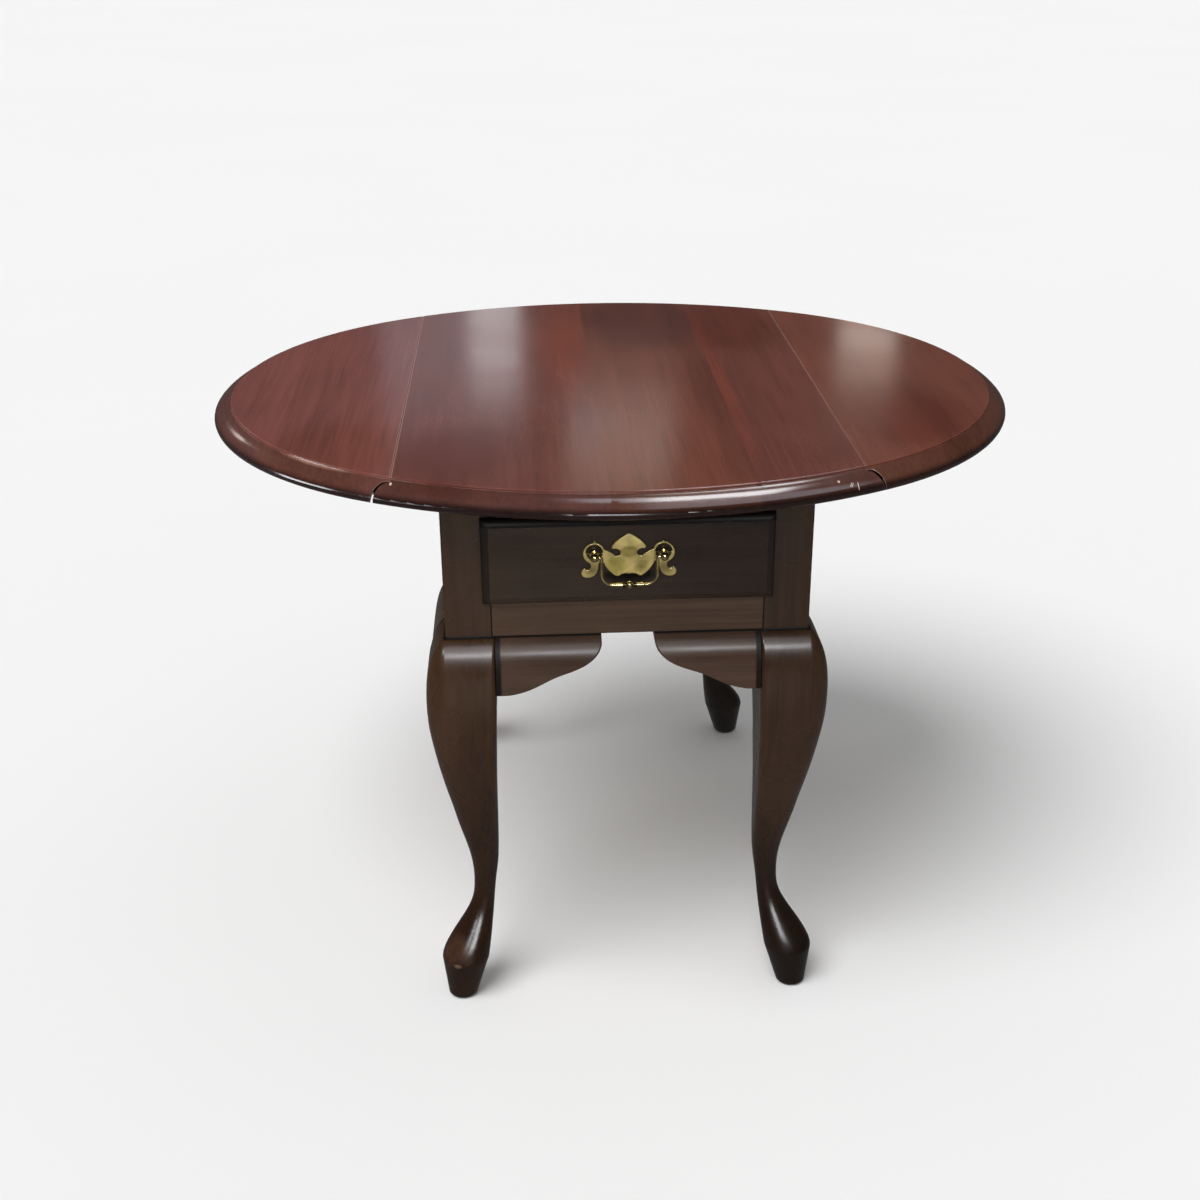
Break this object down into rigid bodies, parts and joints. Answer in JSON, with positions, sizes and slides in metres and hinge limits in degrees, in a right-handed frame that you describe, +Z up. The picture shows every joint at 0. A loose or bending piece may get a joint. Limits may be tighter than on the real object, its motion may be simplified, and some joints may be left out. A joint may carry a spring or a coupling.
{
  "type": "pembroke table",
  "caption": "Oval drop-leaf pembroke table in dark stained wood, with a lipped drawer, brass bail pull, swing-out leaf brackets and cabriole legs on pad feet.",
  "frame": {"origin": "floor level under the middle of the oval top", "axes": "+Z up, +X to the right along the oval's length, the drawer faces -Y"},
  "size_m": [0.8178, 0.712, 0.575],
  "materials": {
    "top_wood": "red-brown stain under semi-gloss lacquer",
    "base_wood": "dark brown stain under satin lacquer",
    "inner_wood": "plain unstained hardwood",
    "panel_wood": "thin plain plywood",
    "brass": "lacquered antique brass",
    "steel": "dull plated steel"
  },
  "bodies": {
    "table": {"apron_back": "base_wood", "apron_left": "base_wood", "apron_right": "base_wood", "fly_block_left": "base_wood", "fly_block_right": "base_wood", "fly_end_left": "base_wood", "fly_end_right": "base_wood", "fly_pins": "steel", "guide_left": "inner_wood", "guide_right": "inner_wood", "hinge_pins": "steel", "hinge_screws_top": "steel", "hinge_top_flaps": "steel", "kicker_left": "inner_wood", "kicker_right": "inner_wood", "knee_bracket_back_left": "base_wood", "knee_bracket_back_right": "base_wood", "knee_bracket_front_left": "base_wood", "knee_bracket_front_right": "base_wood", "knee_bracket_side_back_left": "base_wood", "knee_bracket_side_back_right": "base_wood", "knee_bracket_side_front_left": "base_wood", "knee_bracket_side_front_right": "base_wood", "leg_back_left": "base_wood", "leg_back_right": "base_wood", "leg_front_left": "base_wood", "leg_front_right": "base_wood", "rail_front_bottom": "base_wood", "rail_front_top": "base_wood", "runner_left": "inner_wood", "runner_right": "inner_wood", "side_facing_left": "base_wood", "side_facing_right": "base_wood", "top_board_left": "top_wood", "top_board_middle": "top_wood", "top_board_right": "top_wood", "top_screws": "steel"},
    "leaf_left": {"leaf_left": "top_wood", "hinge_leaf_flaps_left": "steel", "hinge_screws_left": "steel"},
    "leaf_right": {"leaf_right": "top_wood", "hinge_leaf_flaps_right": "steel", "hinge_screws_right": "steel"},
    "fly_bracket_left": {"fly_bracket_left": "base_wood"},
    "fly_bracket_right": {"fly_bracket_right": "base_wood"},
    "drawer": {"drawer_front": "base_wood", "drawer_side_left": "inner_wood", "drawer_side_right": "inner_wood", "drawer_back": "inner_wood", "drawer_bottom": "panel_wood", "drawer_screws": "steel", "handle_plate": "brass", "handle_posts": "brass", "handle_nuts": "steel"},
    "bail": {"bail": "brass"}
  },
  "joints": [
    {"name": "leaf_left_drop", "type": "hinge", "parent": "table", "child": "leaf_left", "pos_m": [-0.2105, 0, 0.555], "axis": [0, 1, 0], "range_deg": [-90, 0]},
    {"name": "leaf_right_drop", "type": "hinge", "parent": "table", "child": "leaf_right", "pos_m": [0.2105, 0, 0.555], "axis": [0, -1, 0], "range_deg": [-90, 0]},
    {"name": "fly_bracket_left_swing", "type": "hinge", "parent": "table", "child": "fly_bracket_left", "pos_m": [-0.16025, -0.03, 0.5155], "axis": [0, 0, 1], "range_deg": [0, 90]},
    {"name": "fly_bracket_right_swing", "type": "hinge", "parent": "table", "child": "fly_bracket_right", "pos_m": [0.16025, -0.03, 0.5155], "axis": [0, 0, -1], "range_deg": [0, 90]},
    {"name": "drawer_slide", "type": "slide", "parent": "table", "child": "drawer", "axis": [0, -1, 0], "range_m": [0, 0.3]},
    {"name": "bail_swing", "type": "hinge", "parent": "drawer", "child": "bail", "pos_m": [0, -0.29, 0.4933], "axis": [-1, 0, 0], "range_deg": [0, 90]}
  ]
}
